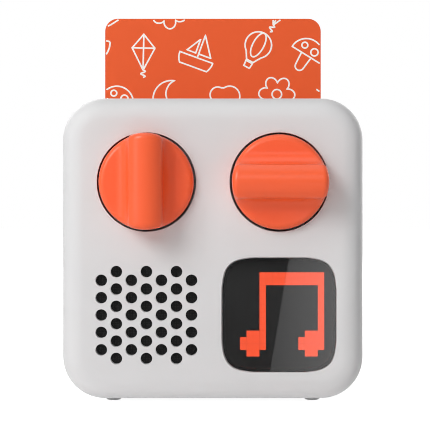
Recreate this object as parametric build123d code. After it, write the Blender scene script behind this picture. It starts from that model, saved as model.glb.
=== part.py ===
from build123d import *
from math import cos, pi, radians, sin
import os

# Audio story player. Millimetres, +Z up, the front faces -Y and +X is to the viewer's right.
# The origin is on the surface it stands on, under the middle of the overall box.
# Depths are counted from the front face towards the back, and heights from the body's centre.

# ---------------------------------------------------------------- body
body_width = 70.0
body_height = 70.0
body_depth = 42.0
corner_radius = 9.8
front_edge_reach = 6.5
front_edge_power = 3.0
inner_edge_radius = 3.0
rear_edge_radius = 2.5
front_wall = 2.2
side_wall = 2.0
cover_depth = 4.0
cover_wall = 2.0
lip_length = 1.5
lip_wall = 0.9
lip_clearance = 0.1
join = 0.5
overshoot = 1.0

# ---------------------------------------------------------------- feet
foot_radius = 2.0
foot_height = 1.0
foot_edge_radius = 0.85
foot_stem_radius = 1.0
foot_barb_radius = 1.35
foot_barb_taper = 0.2
foot_barb_height = 0.7
foot_clearance = 0.05
foot_side_inset = 11.5
foot_inset = 10.5

# ---------------------------------------------------------------- layout of the face
# Two columns and two rows. Each centre is midway between the body's middle and its side, moved by half an offset.
column_offset = 4.4
knob_row_offset = 4.3
display_row_offset = 4.5
speaker_row_offset = 4.4

# ---------------------------------------------------------------- knobs
knob_radius = 10.925
knob_proud = 2.4
knob_height = 9.5
knob_rim_radius = 1.35
knob_gap = 0.525
knob_wall = 1.6
knob_skirt_end = 4.0
knob_boss_radius = 4.4
knob_boss_end = 0.5
grip_width = 7.7
grip_crown_radius = 5.0
grip_edge_break = 0.35
grip_root_radius = 3.2
grip_core_width = 3.6
grip_core_start = 5.3
grip_core_end = 8.8
grip_skin = 2.6
press_travel = 0.8

# ---------------------------------------------------------------- encoders
well_wall = 1.6
well_floor_depth = 5.2
well_floor = 1.5
shaft_radius = 3.0
shaft_flat = 4.5
shaft_tip_depth = -6.3
shaft_fit = 0.03
shaft_flange_radius = 4.0
shaft_flange = 1.0
shaft_end_gap = 0.2
running_clearance = 0.05
bushing_radius = 3.5
bushing_length = 5.0
nut_across_flats = 10.0
nut_thickness = 2.0
encoder_size = 12.0
encoder_depth = 6.5
encoder_corner_radius = 0.6
encoder_plate = 0.8
encoder_wall = 1.2
encoder_floor = 0.3
plunger_radius = 3.0
plunger_head = 1.0
plunger_pin_radius = 1.0
plunger_gap = 0.1

# ---------------------------------------------------------------- display
window_size = 26.05
window_power = 5.0
window_flat = 0.4
window_gap = 0.1
window_thickness = 1.2
window_rim_chamfer = 0.25
display_tape = 0.15
display_tape_width = 0.6
pixel_rows = 16
pixel_margin = 2.9
pixel_wall = 0.2
baffle_border = 0.4
baffle_depth = 3.0
diffuser_thickness = 0.5
led_board_side_gap = 2.8
led_board_corner_radius = 1.0
led_board_thickness = 1.6
led_screw_inset = 1.3
led_boss_radius = 1.45

# ---------------------------------------------------------------- loudspeaker
speaker_display_gap = 0.3
speaker_well_gap = 2.2
speaker_flange = 0.8
speaker_depth = 5.6
speaker_taper = 5.4
basket_window = (3.6, 5.0)
basket_window_offset = 1.6
basket_window_lead = 0.8
basket_rim = 0.6
speaker_sheet = 0.5
cone_thickness = 0.35
surround_width = 2.4
surround_rise = 0.8
cone_edge = 0.2
cone_deep = 2.8
cap_radius = 4.2
cap_rise = 1.2
cap_lap = 0.4
magnet_step = 0.6
magnet_thickness = 4.0
magnet_chamfer = 0.4
gasket_thickness = 1.0
gasket_width = 1.8
mesh_thickness = 0.2
chamber_wall = 1.2
chamber_clearance = 0.2
chamber_depth = 12.4
chamber_lead = 0.8
chamber_ear_gap = 0.32
chamber_ear_radius = 2.1
chamber_ear_thickness = 1.6
grille_hole_radius = 1.35
grille_pitch = 4.0
grille_rows = (5, 6, 5, 6, 5, 6, 5)

# ---------------------------------------------------------------- card and sleeve
card_side_room = 8.01
card_height = 85.6
card_thickness = 0.76
card_corner_radius = 3.18
card_depth = 30.0
card_side_clearance = 0.26
card_face_clearance = 0.32
slot_lip_clearance = 0.2
slot_chamfer = 0.5
sleeve_wall = 1.0
sleeve_floor = 1.2
sleeve_gap = 3.1
sleeve_ear_radius = 2.4
sleeve_ear_thickness = 1.8
antenna_size = 44.0
antenna_corner_radius = 2.0
antenna_thickness = 0.8

# ---------------------------------------------------------------- boards, battery, ports
board_side_gap = 1.1
board_top_gap = 5.5
board_chamber_rise = 1.1
board_chamber_side = 0.9
board_below_usb = 1.03
board_corner_radius = 1.0
board_thickness = 1.6
board_top_screw_inset = 1.9
board_middle_screw_drop = 9.75
board_side_screw_inset = 1.3
board_side_screw_raise = 3.4
board_boss_radius = 1.8
boss_clearance = 0.3
shield_size = (16.0, 14.0, 2.0)
shield_place = (-12.0, 17.0)
battery_post_gap = 3.65
battery_height = 36.0
battery_thickness = 6.0
battery_corner_radius = 2.0
battery_edge_radius = 1.0
battery_pad_inset = 3.0
battery_pad_corner_radius = 1.0
battery_pad_thickness = 0.5
shield_corner_radius = 0.8
shield_edge_radius = 0.3
port_recess_depth = 1.2
port_clearance = 0.3
usb_above_bottom = 21.0
usb_size = (8.94, 3.26, 7.35)
usb_shell_wall = 0.3
usb_tongue = (6.7, 0.7, 5.6)
usb_leg = 0.8
usb_leg_inset = 0.6
usb_recess = (12.6, 7.0)
jack_above_usb = 9.5
jack_size = (6.0, 5.0, 11.6)
jack_nose_radius = 2.4
jack_nose_length = 1.4
jack_bore_radius = 1.8
jack_bore_length = 11.0
jack_recess_radius = 4.0
button_below_top = 23.0
button_size = (8.0, 3.2)
button_gap = 0.15
button_sunk = 0.2
button_flange = 0.7
button_flange_thickness = 0.8
button_stem_radius = 0.9
button_travel = 0.5
button_edge_radius = 0.4
button_stem_gap = 0.3
switch_size = (6.0, 3.5, 3.4)
switch_plunger_size = (2.4, 1.2)
switch_plunger_proud = 1.6
switch_well_depth = 1.6
switch_plunger_seat = 0.9

# ---------------------------------------------------------------- screws
cover_screw_wall_gap = 2.5
cover_screw_inset = 11.0
cover_screw_length = 15.0
cover_boss_radius = 2.0
cover_post_radius = 1.85
cover_spigot_radius = 1.5
cover_spigot_gap = 0.1
screw_head_sunk = 0.4
screw_radius = 0.8
screw_head_radius = 1.5
screw_head_height = 1.0
screw_clearance = 0.08
board_screw_length = 6.0
small_screw_radius = 0.6
small_screw_head_radius = 1.1
small_screw_head_height = 0.7
led_screw_length = 4.0

# ---------------------------------------------------------------- worked out from the above
overall_depth = knob_height + body_depth
front_y = knob_height - overall_depth / 2
centre_z = foot_height + body_height / 2
control_x = (body_width / 2 - column_offset) / 2
control_raise = (body_height / 2 - knob_row_offset) / 2
display_drop = (body_height / 2 - display_row_offset) / 2
speaker_drop = (body_height / 2 - speaker_row_offset) / 2
sides = {"left": (-1, 0), "right": (1, 90)}
seam_depth = body_depth - cover_depth
floor_z = foot_height + side_wall
well_radius = knob_radius + knob_gap
well_back = well_floor_depth + well_floor
board_front = well_back + encoder_depth
board_back = board_front + board_thickness
port_depth = board_back + jack_size[1] / 2
inner_x = body_width / 2 - side_wall
inner_top = body_height / 2 - side_wall
cover_screw_place = (inner_x - cover_screw_wall_gap, body_height / 2 - cover_screw_inset)
usb_drop = body_height / 2 - usb_above_bottom
jack_drop = usb_drop - jack_above_usb
button_raise = body_height / 2 - button_below_top
card_width = body_width - 2 * card_side_room
slot_thickness = card_thickness + 2 * card_face_clearance
slot_width = card_width + 2 * card_side_clearance
sleeve_front = card_depth - slot_thickness / 2 - sleeve_wall
sleeve_back = card_depth + slot_thickness / 2 + sleeve_wall
card_bottom = floor_z + sleeve_gap + sleeve_floor
led_board_size = 2 * (inner_x - control_x - led_board_side_gap)
pixel_area = led_board_size - 2 * pixel_margin
pixel_pitch = pixel_area / pixel_rows
led_screw_spacing = led_board_size - 2 * led_screw_inset
led_board_front = front_wall + diffuser_thickness + baffle_depth
speaker_front = front_wall + mesh_thickness + gasket_thickness
chamber_back = front_wall + chamber_depth
cup_radius = min(2 * control_x - led_board_size / 2 - speaker_display_gap,
                 control_raise + speaker_drop - well_radius - well_wall - speaker_well_gap)
speaker_radius = cup_radius - chamber_wall - chamber_clearance
speaker_neck_radius = speaker_radius - speaker_taper
magnet_radius = speaker_neck_radius - magnet_step
chamber_screw_spacing = (cup_radius + chamber_ear_radius + chamber_ear_gap) * 2**0.5
mouth_x = inner_x - lip_clearance
board_side = inner_x - board_side_gap
board_top = inner_top - board_top_gap
board_bottom = -usb_drop - usb_size[0] / 2 - board_below_usb
board_notch_height = cup_radius - speaker_drop + board_chamber_rise
board_notch_x = cup_radius - control_x + board_chamber_side
board_screw_spots = ((0, board_top - board_top_screw_inset), (0, control_raise - board_middle_screw_drop),
                     (board_side_screw_inset - board_side, board_side_screw_raise),
                     (board_side - board_side_screw_inset, board_side_screw_raise))
battery_width = 2 * (cover_screw_place[0] - cover_post_radius - battery_post_gap)


# ---------------------------------------------------------------- ways of making solids
def prism(outline, near, far, x=0.0, height=0.0):
    """A flat outline, drawn as seen from the front, made solid between two depths."""
    plane = Plane(origin=(x, front_y + far, centre_z + height), x_dir=(1, 0, 0), z_dir=(0, -1, 0))
    return extrude(plane * outline, amount=far - near)


def side_prism(outline, inner, outer, height=0.0):
    """An outline drawn as seen from the right at the ports' depth, its width along Z."""
    plane = Plane(origin=(inner, front_y + port_depth, centre_z + height), x_dir=(0, 0, 1), z_dir=(1, 0, 0))
    return extrude(plane * outline, amount=outer - inner)


def turned(outline, x, height):
    """An outline of radius against depth, turned about a front-to-back axis."""
    origin = (x, front_y, centre_z + height)
    return revolve(Plane(origin=origin) * outline, Axis(origin, (0, 1, 0)))


def turned_points(*points):
    """A closed outline through points of radius and depth."""
    return Polygon(*points, align=None)


def rod(radius, near, far, x=0.0, height=0.0):
    """A round bar along the front-to-back axis."""
    return prism(Circle(radius), near, far, x, height)


def tube(outer, inner, near, far, x=0.0, height=0.0):
    """A round tube along the front-to-back axis."""
    return prism(Circle(outer) - Circle(inner), near, far, x, height)


def screw(radius, length, head_radius, head_height, seat, x, height):
    """A pan-head screw driven from the back, its head resting at a depth."""
    drive = prism(RegularPolygon(head_radius * 0.5, 6), seat + head_height * 0.4, seat + 2 * head_height, x, height)
    body = rod(head_radius, seat, seat + head_height, x, height) - drive
    return body + rod(radius, seat - length, seat, x, height)


def body_outline(inset=0.0):
    """The body's rounded square, brought in evenly by an inset."""
    return RectangleRounded(body_width - 2 * inset, body_height - 2 * inset, corner_radius - inset)


def soft_square(size):
    """A square whose sides flow into its corners: |x|^n + |y|^n = (size / 2)^n, with straight middles."""
    half = size / 2
    bend = 2 / window_power
    angles = [radians(degrees) for degrees in (13, 27, 45, 63, 77)]
    inner = [(half * cos(a) ** bend, half * sin(a) ** bend) for a in angles]
    flat = half * window_flat
    corner = Spline((half, flat), *inner, (flat, half), tangents=((0, 1), (-1, 0)))
    side = Line((half, -flat), (half, flat))
    quarters = [Rot(0, 0, 90 * turn) * curve for turn in range(4) for curve in (side, corner)]
    return make_face(Curve() + quarters)


def corners(spacing_x, spacing_z):
    """The four corners of a rectangle about its centre."""
    return [(x * spacing_x / 2, z * spacing_z / 2) for x in (-1, 1) for z in (-1, 1)]


def grille_holes():
    """Hole centres of the hexagonal grille, about its own centre."""
    column_step = grille_pitch * cos(pi / 6)
    holes = []
    for column, count in enumerate(grille_rows):
        x = (column - (len(grille_rows) - 1) / 2) * column_step
        holes += [(x, (row - (count - 1) / 2) * grille_pitch) for row in range(count)]
    return holes


def wall_boss(radius, near, far, x, height):
    """A screw boss joined to the side wall beside it by a web of its own width."""
    side = 1 if x > 0 else -1
    web_width = inner_x + lip_clearance - abs(x)
    web = Pos(side * web_width / 2, 0) * Rectangle(web_width, 2 * radius)
    return prism(Circle(radius) + web, near, far, x, height)


cover_places = corners(2 * cover_screw_place[0], 2 * cover_screw_place[1])
led_places = [(control_x + x, z - display_drop) for x, z in corners(led_screw_spacing, led_screw_spacing)]
chamber_places = [(x - control_x, z - speaker_drop) for x, z in corners(chamber_screw_spacing, chamber_screw_spacing)]


# ---------------------------------------------------------------- front housing
def make_front_housing():
    """The moulded shell: front face and four walls, open at the back."""
    shell = prism(body_outline(), 0, seam_depth)
    hollow = prism(body_outline(side_wall), front_wall, seam_depth + overshoot)
    hollow = fillet(hollow.faces().sort_by(Axis.Y)[0].edges(), inner_edge_radius)
    shell -= hollow
    shell -= prism(body_outline(side_wall - lip_wall - lip_clearance), seam_depth - lip_length - lip_clearance,
                   seam_depth + overshoot)

    pilot = screw_radius + screw_clearance
    small_pilot = small_screw_radius + screw_clearance
    boss_root = front_wall - join
    for x, z in cover_places:
        shell += wall_boss(cover_boss_radius, boss_root, sleeve_front, x, z)
        spigot_end = sleeve_front + sleeve_ear_thickness - cover_spigot_gap
        shell += rod(cover_spigot_radius, sleeve_front - join, spigot_end, x, z)
        shell -= rod(pilot, sleeve_front - cover_screw_length / 2, sleeve_back, x, z)
    for x, z in board_screw_spots:
        if x:
            shell += wall_boss(board_boss_radius, boss_root, board_front, x, z)
        else:
            shell += rod(board_boss_radius, boss_root, board_front, x, z)
        shell -= rod(pilot, board_front - board_screw_length, board_front + overshoot, x, z)
    for x, z in led_places:
        shell += rod(led_boss_radius, boss_root, led_board_front, x, z)
        shell -= rod(small_pilot, front_wall, led_board_front + overshoot, x, z)
    for x, z in chamber_places:
        shell += rod(chamber_ear_radius, boss_root, chamber_back - chamber_ear_thickness, x, z)
        shell -= rod(pilot, chamber_back - 2 * board_screw_length, chamber_back, x, z)

    for side, _ in sides.values():
        x = side * control_x
        shell += rod(well_radius + well_wall, boss_root, well_back, x, control_raise)
        shell -= rod(well_radius, -overshoot, well_floor_depth, x, control_raise)
        shell -= rod(bushing_radius + screw_clearance, 0, well_back + overshoot, x, control_raise)

    opening = window_size + 2 * window_gap
    ledge = window_thickness + display_tape
    shell -= prism(soft_square(opening), -overshoot, ledge, control_x, -display_drop)
    shell -= prism(soft_square(opening - 2 * display_tape_width - 2 * window_gap), 0, front_wall + overshoot,
                   control_x, -display_drop)

    rim = shell.edges().filter_by(lambda edge: in_front_face(edge, control_x, -display_drop, opening))
    shell = chamfer(rim, window_rim_chamfer)

    for x, z in grille_holes():
        shell -= rod(grille_hole_radius, -overshoot, front_wall + overshoot, x - control_x, z - speaker_drop)

    return shell - card_slot() - port_cuts() - foot_holes() - front_edge_relief()


def front_edge_relief():
    """What the soft front edge takes off the block, as four sides and four corners.

    In from the side by u and back from the front by v, its section is the curve
    ((r - u) / r)^n + ((r - v) / r)^n = 1, which flows into both faces.
    """
    reach = front_edge_reach
    bend = 2 / front_edge_power
    angles = [radians(degrees) for degrees in (15, 30, 45, 60, 75)]
    start, end = corner_radius, corner_radius - reach
    inner = [(end + reach * cos(a) ** bend, reach - reach * sin(a) ** bend) for a in angles]
    soft = Spline((start, reach), *inner, (end, 0), tangents=((0, -1), (-1, 0)))
    far = start + overshoot
    section = make_face(soft + Polyline((end, 0), (end, -overshoot), (far, -overshoot), (far, reach), (start, reach)))
    relief = []
    for turn, (width, height) in enumerate(2 * [(body_width, body_height), (body_height, body_width)]):
        centre = (width / 2 - corner_radius, 0, height / 2 - corner_radius)
        corner = revolve(Plane(origin=centre, x_dir=(1, 0, 0), z_dir=(0, 0, 1)) * section, Axis(centre, (0, -1, 0)), 90)
        side = extrude(Plane(origin=centre, x_dir=(0, 0, 1), z_dir=(-1, 0, 0)) * section, amount=2 * centre[0])
        relief += [Pos(0, front_y, centre_z) * Rot(0, 90 * turn, 0) * piece for piece in (corner, side)]
    return relief


def in_front_face(edge, x, height, size):
    """Whether an edge lies in the front face, within a square about a place."""
    middle = edge @ 0.5
    near_x = abs(middle.X - x) < size / 2 + window_gap
    near_z = abs(middle.Z - centre_z - height) < size / 2 + window_gap
    return near_x and near_z and abs(middle.Y - front_y) < 0.001


def card_slot():
    """The slot through the top wall, its mouth opened out by a chamfer."""
    width = slot_width + 2 * slot_lip_clearance
    thickness = slot_thickness + 2 * slot_lip_clearance
    top = Plane(origin=(0, front_y + card_depth, foot_height + body_height))
    cut = extrude(top * RectangleRounded(width, thickness, thickness / 2 - 0.01), amount=-side_wall - overshoot)
    mouth = extrude(top * RectangleRounded(width + 2 * slot_chamfer, thickness + 2 * slot_chamfer,
                                           thickness / 2 + slot_chamfer - 0.01), amount=-slot_chamfer, taper=45)
    return cut + mouth


def port_cuts():
    """Holes in the right wall for the charging port, the headphone socket and the power button."""
    outside = body_width / 2
    seat = outside - port_recess_depth
    usb_mouth = SlotOverall(usb_size[0] + 2 * port_clearance, usb_size[1] + 2 * port_clearance)
    cuts = side_prism(usb_mouth, inner_x - overshoot, outside + overshoot, -usb_drop)
    cuts += side_prism(SlotOverall(*usb_recess), seat, outside + overshoot, -usb_drop)
    cuts += side_prism(Circle(jack_nose_radius + port_clearance), inner_x - overshoot, outside + overshoot, -jack_drop)
    cuts += side_prism(Circle(jack_recess_radius), seat, outside + overshoot, -jack_drop)
    button = SlotOverall(button_size[0] + 2 * button_gap, button_size[1] + 2 * button_gap)
    return cuts + side_prism(button, inner_x - overshoot, outside + overshoot, button_raise)


def foot_places():
    """Foot centres on the bottom wall, as x and y."""
    near = front_y + foot_inset
    far = front_y + body_depth - foot_inset
    side = body_width / 2 - foot_side_inset
    return [(x, y) for x in (-side, side) for y in (near, far)]


def foot_holes():
    """Holes through the bottom wall for the stems of the feet."""
    radius = foot_stem_radius + foot_clearance
    return [Pos(x, y, foot_height + side_wall / 2) * Cylinder(radius, side_wall + 2 * overshoot) for x, y in foot_places()]


# ---------------------------------------------------------------- rear cover
def make_rear_cover():
    """The shallow back shell: a lip locates it and four posts clamp the card sleeve."""
    cover = prism(body_outline(), seam_depth, body_depth)
    cover = fillet(cover.faces().sort_by(Axis.Y)[-1].edges(), rear_edge_radius)
    cover -= prism(body_outline(side_wall), seam_depth - overshoot, body_depth - cover_wall)
    outer_inset = side_wall - lip_wall
    cover += prism(body_outline(outer_inset) - body_outline(side_wall), seam_depth - lip_length, seam_depth + join)
    post_end = sleeve_front + sleeve_ear_thickness
    head_seat = body_depth - screw_head_height - screw_head_sunk
    for x, z in cover_places:
        cover += rod(cover_post_radius, post_end, body_depth - cover_wall + join, x, z)
        cover -= rod(screw_radius + screw_clearance, post_end - overshoot, body_depth, x, z)
        cover -= rod(screw_head_radius + 2 * screw_clearance, head_seat, body_depth + overshoot, x, z)
    return cover


# ---------------------------------------------------------------- card and sleeve
def make_card_sleeve():
    """The flat pocket that guides the card, with ears over the housing's four spigots."""
    top = foot_height + body_height - side_wall
    bottom = card_bottom - sleeve_floor
    height = top - bottom
    middle = (top + bottom) / 2 - centre_z
    outer = Rectangle(slot_width + 2 * sleeve_wall, height)
    sleeve = prism(outer, sleeve_front, sleeve_back, 0, middle)
    for x, z in cover_places:
        reach = abs(x) - slot_width / 2
        side = 1 if x > 0 else -1
        ear = Circle(sleeve_ear_radius) + Pos(-side * reach / 2, 0) * Rectangle(reach, 2 * sleeve_ear_radius)
        sleeve += prism(ear, sleeve_front, sleeve_front + sleeve_ear_thickness, x, z)
        sleeve -= rod(cover_spigot_radius + lip_clearance, sleeve_front - overshoot, sleeve_back, x, z)
    pocket_height = top - card_bottom + overshoot
    pocket_middle = card_bottom + pocket_height / 2 - centre_z
    near = card_depth - slot_thickness / 2
    sleeve -= prism(Rectangle(slot_width, pocket_height), near, near + slot_thickness, 0, pocket_middle)
    return sleeve & prism(body_outline(side_wall + lip_clearance), 0, body_depth)


def make_story_card():
    """A card of bank-card size, standing on the floor of its sleeve."""
    middle = card_bottom + card_height / 2 - centre_z
    near = card_depth - card_thickness / 2
    return prism(RectangleRounded(card_width, card_height, card_corner_radius), near, near + card_thickness, 0, middle)


def make_reader_antenna():
    """The coil board that reads the card through the sleeve's back wall."""
    coil = RectangleRounded(antenna_size, antenna_size, antenna_corner_radius)
    return prism(coil, sleeve_back, sleeve_back + antenna_thickness)


# ---------------------------------------------------------------- knobs
def grip_outline():
    """Cross-section of the grip: a crown on upright sides that sweep out into the disc."""
    half = grip_width / 2
    crown_drop = grip_crown_radius - (grip_crown_radius**2 - half**2) ** 0.5
    edge = knob_height - crown_drop
    root = half + grip_root_radius
    crown = ThreePointArc((-half, edge), (0, knob_height), (half, edge))
    right = Line((half, edge), (half, knob_proud + grip_root_radius))
    middle = grip_root_radius * (1 - cos(pi / 4))
    right_root = ThreePointArc((half, knob_proud + grip_root_radius), (half + middle, knob_proud + middle),
                               (root, knob_proud))
    left_root = ThreePointArc((-root, knob_proud), (-half - middle, knob_proud + middle),
                              (-half, knob_proud + grip_root_radius))
    left = Line((-half, knob_proud + grip_root_radius), (-half, edge))
    sunk = knob_proud - overshoot
    base = Polyline((root, knob_proud), (root, sunk), (-root, sunk), (-root, knob_proud))
    outline = make_face(crown + right + right_root + base + left_root + left)
    shoulders = outline.vertices().group_by(Axis.Y)[-1]
    return chamfer(shoulders, grip_edge_break)


def make_knob(side, turn):
    """A knob: a disc with a grip bar right across it, cored from behind. The bar is turned by an angle."""
    x = side * control_x
    axis = Axis((x, front_y, centre_z + control_raise), (0, 1, 0))
    knob = rod(knob_radius, -knob_proud, knob_skirt_end, x, control_raise)
    reach = knob_radius + overshoot
    plane = Plane(origin=(x, front_y, centre_z + control_raise + reach), x_dir=(1, 0, 0), z_dir=(0, 0, 1))
    section = mirror(grip_outline(), Plane.XZ)
    bar = extrude(plane * section, amount=-2 * reach)
    bar &= rod(knob_radius, -knob_height - overshoot, 0, x, control_raise)
    knob += bar
    top = [edge for edge in knob.edges() if is_rim(edge, x)]
    knob = fillet(top, knob_rim_radius)

    inner = knob_radius - knob_wall
    knob -= rod(inner, -knob_proud + knob_wall, knob_skirt_end + overshoot, x, control_raise)
    knob += rod(knob_boss_radius, -knob_proud, knob_boss_end, x, control_raise)
    core_middle = (grip_core_start + grip_core_end) / 2
    core = Rectangle(grip_core_width, grip_core_end - grip_core_start)
    for way in (-1, 1):
        knob -= prism(core, grip_skin - knob_height, 0, x, control_raise + way * core_middle)
    knob -= prism(flatted(shaft_radius + shaft_fit, shaft_flat + shaft_fit), shaft_tip_depth - shaft_end_gap,
                  knob_boss_end + overshoot, x, control_raise)
    return knob.rotate(axis, turn)


def is_rim(edge, x):
    """Whether an edge lies on the knob's outer wall, on its front side."""
    for at in (0.1, 0.5, 0.9):
        point = edge @ at
        reach = ((point.X - x) ** 2 + (point.Z - centre_z - control_raise) ** 2) ** 0.5
        if abs(reach - knob_radius) > 0.01 or point.Y > front_y - knob_proud + 0.01:
            return False
    return True


def flatted(radius, across):
    """A circle with one flat, as on a knob shaft."""
    return Circle(radius) - Pos(0, across) * Rectangle(4 * radius, 2 * radius)


# ---------------------------------------------------------------- encoders
def make_encoder(side, turn):
    """One encoder's pieces by name: plated cover with its neck, body, nut, shaft and switch plunger."""
    x = side * control_x
    axis = Axis((x, front_y, centre_z + control_raise), (0, 1, 0))
    place = (x, control_raise)
    bore = shaft_radius + running_clearance
    plate_back = well_back + encoder_plate
    cavity_radius = encoder_size / 2 - encoder_wall
    cover = prism(Rectangle(encoder_size, encoder_size), well_back, plate_back, *place)
    cover += rod(bushing_radius, well_back - bushing_length, well_back, *place)
    cover -= rod(bore, well_back - bushing_length - overshoot, plate_back + overshoot, *place)

    outline = RectangleRounded(encoder_size, encoder_size, encoder_corner_radius)
    housing = prism(outline, plate_back, board_front, *place)
    housing -= rod(cavity_radius, plate_back - overshoot, board_front - encoder_floor, *place)

    nut = prism(RegularPolygon(nut_across_flats / 2, 6, major_radius=False), well_floor_depth - nut_thickness,
                well_floor_depth, *place)
    nut -= rod(bushing_radius + running_clearance, 0, well_floor_depth + overshoot, *place)

    plunger_front = board_front - encoder_floor - press_travel - 2 * plunger_head
    shaft = prism(flatted(shaft_radius, shaft_flat), shaft_tip_depth, knob_boss_end + shaft_end_gap, *place)
    shaft += rod(shaft_radius, knob_boss_end + shaft_end_gap, plunger_front, *place)
    flange_front = plate_back + shaft_end_gap
    shaft += rod(shaft_flange_radius, flange_front, flange_front + shaft_flange, *place)
    shaft = shaft.rotate(axis, turn)

    plunger = rod(plunger_radius, plunger_front, plunger_front + plunger_head, *place)
    pin_end = board_front - encoder_floor - press_travel - plunger_gap
    plunger += rod(plunger_pin_radius, plunger_front + plunger_head, pin_end, *place)
    return {"bushing": cover, "body": housing, "nut": nut, "shaft": shaft, "plunger": plunger}


# ---------------------------------------------------------------- display
def make_display():
    """The display's pieces by name, from the window back to the board."""
    place = (control_x, -display_drop)
    window = prism(soft_square(window_size), 0, window_thickness, *place)
    tape_back = window_thickness + display_tape
    tape_inner = window_size - 2 * display_tape_width
    tape = prism(soft_square(window_size - window_gap) - soft_square(tape_inner), window_thickness, tape_back, *place)
    baffle_size = pixel_area + 2 * baffle_border
    diffuser = prism(Rectangle(baffle_size, baffle_size), front_wall, front_wall + diffuser_thickness, *place)
    cell = pixel_pitch - pixel_wall
    cells = GridLocations(pixel_pitch, pixel_pitch, pixel_rows, pixel_rows) * Rectangle(cell, cell)
    grid = Rectangle(baffle_size, baffle_size) - cells
    baffle = prism(grid, led_board_front - baffle_depth, led_board_front, *place)
    board_back_depth = led_board_front + led_board_thickness
    outline = RectangleRounded(led_board_size, led_board_size, led_board_corner_radius)
    board = prism(outline, led_board_front, board_back_depth, *place)
    for x, z in led_places:
        board -= rod(small_screw_radius + screw_clearance, led_board_front - overshoot, board_back_depth + overshoot, x, z)
    for x, z in cover_places:
        board -= wall_boss(cover_boss_radius + boss_clearance, 0, board_back_depth + overshoot, x, z)
    return {"display_window": window, "display_gasket": tape, "display_diffuser": diffuser,
            "pixel_baffle": baffle, "led_board": board}


# ---------------------------------------------------------------- loudspeaker
def make_speaker():
    """The loudspeaker's pieces by name, from the mesh back to its chamber."""
    place = (-control_x, -speaker_drop)
    mesh = rod(speaker_radius, front_wall, front_wall + mesh_thickness, *place)
    gasket = tube(speaker_radius, speaker_radius - gasket_width, front_wall + mesh_thickness, speaker_front, *place)
    flange_back = speaker_front + speaker_flange
    basket_back = speaker_front + speaker_depth
    open_radius = speaker_radius - gasket_width
    basket = turned(turned_points(
        (open_radius, speaker_front), (speaker_radius, speaker_front), (speaker_radius, flange_back),
        (open_radius + speaker_sheet, flange_back), (speaker_neck_radius, basket_back), (0, basket_back),
        (0, basket_back - speaker_sheet), (speaker_neck_radius - speaker_sheet, basket_back - speaker_sheet),
        (open_radius, flange_back)), *place)
    for angle in range(0, 360, 60):
        window = Rot(0, 0, angle) * Pos(speaker_neck_radius + basket_window_offset, 0) * Rectangle(*basket_window)
        basket -= prism(window, flange_back + basket_window_lead, basket_back - speaker_sheet - basket_rim, *place)
    magnet = rod(magnet_radius, basket_back, basket_back + magnet_thickness, *place)
    magnet = chamfer(magnet.edges().filter_by(GeomType.CIRCLE), magnet_chamfer)

    roll_inner = open_radius - surround_width
    roll_middle = open_radius - surround_width / 2
    edge = speaker_front + cone_edge
    neck = edge + cone_deep
    neck_radius = cap_radius - cap_lap
    cone = turned(make_face(
        ThreePointArc((open_radius, edge), (roll_middle, edge - surround_rise), (roll_inner, edge))
        + Polyline((roll_inner, edge), (neck_radius, neck), (neck_radius, neck + cone_thickness),
                   (roll_inner, edge + cone_thickness))
        + ThreePointArc((roll_inner, edge + cone_thickness), (roll_middle, edge + cone_thickness - surround_rise),
                        (open_radius, edge + cone_thickness))
        + Line((open_radius, edge + cone_thickness), (open_radius, edge))), *place)

    cap_rim = neck_radius - lip_clearance
    cap = turned(make_face(
        Polyline((cap_rim, neck), (0, neck), (0, neck - cap_rise))
        + RadiusArc((0, neck - cap_rise), (cap_rim, neck), (cap_rim**2 + cap_rise**2) / (2 * cap_rise))), *place)

    chamber = rod(cup_radius, front_wall, chamber_back, *place)
    chamber = chamfer(chamber.faces().sort_by(Axis.Y)[0].edges(), chamber_lead)
    for x, z in chamber_places:
        arm = make_hull((Pos(x, z) * Circle(chamber_ear_radius) + Pos(*place) * Circle(chamber_ear_radius)).edges())
        chamber += prism(arm, chamber_back - chamber_ear_thickness, chamber_back)
        chamber -= rod(screw_radius + screw_clearance, 0, chamber_back + overshoot, x, z)
    chamber -= rod(speaker_radius + chamber_clearance, 0, chamber_back - chamber_wall, *place)
    return {"grille_mesh": mesh, "speaker_gasket": gasket, "speaker_basket": basket, "speaker_magnet": magnet,
            "speaker_cone": cone, "speaker_dust_cap": cap, "speaker_chamber": chamber}


# ---------------------------------------------------------------- boards and battery
def make_main_board():
    """The L-shaped board behind the encoders, notched round the speaker chamber and the bosses."""
    outline = Polygon((-board_side, board_notch_height), (board_notch_x, board_notch_height),
                      (board_notch_x, board_bottom), (board_side, board_bottom), (board_side, board_top),
                      (-board_side, board_top), align=None)
    outline = fillet(outline.vertices(), board_corner_radius)
    board = prism(outline, board_front, board_back)
    for x, z in cover_places:
        board -= wall_boss(cover_boss_radius + boss_clearance, 0, board_back + overshoot, x, z)
    for x, z in board_screw_spots:
        board -= rod(screw_radius + screw_clearance, board_front - overshoot, board_back + overshoot, x, z)
    return board


def make_shield_can():
    """The pressed lid over the wireless module."""
    width, height, rise = shield_size
    can = prism(RectangleRounded(width, height, shield_corner_radius), board_back, board_back + rise, *shield_place)
    return fillet(can.faces().sort_by(Axis.Y)[-1].edges(), shield_edge_radius)


def make_battery():
    """The flat cell and the foam pad that sticks it to the rear cover."""
    cover_inside = body_depth - cover_wall
    pad_front = cover_inside - battery_pad_thickness
    outline = RectangleRounded(battery_width, battery_height, battery_corner_radius)
    cell = prism(outline, pad_front - battery_thickness, pad_front)
    cell = fillet(cell.faces().sort_by(Axis.Y)[0].edges(), battery_edge_radius)
    pad = prism(RectangleRounded(battery_width - 2 * battery_pad_inset, battery_height - 2 * battery_pad_inset,
                                 battery_pad_corner_radius), pad_front, cover_inside)
    return {"battery": cell, "battery_pad": pad}


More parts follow.
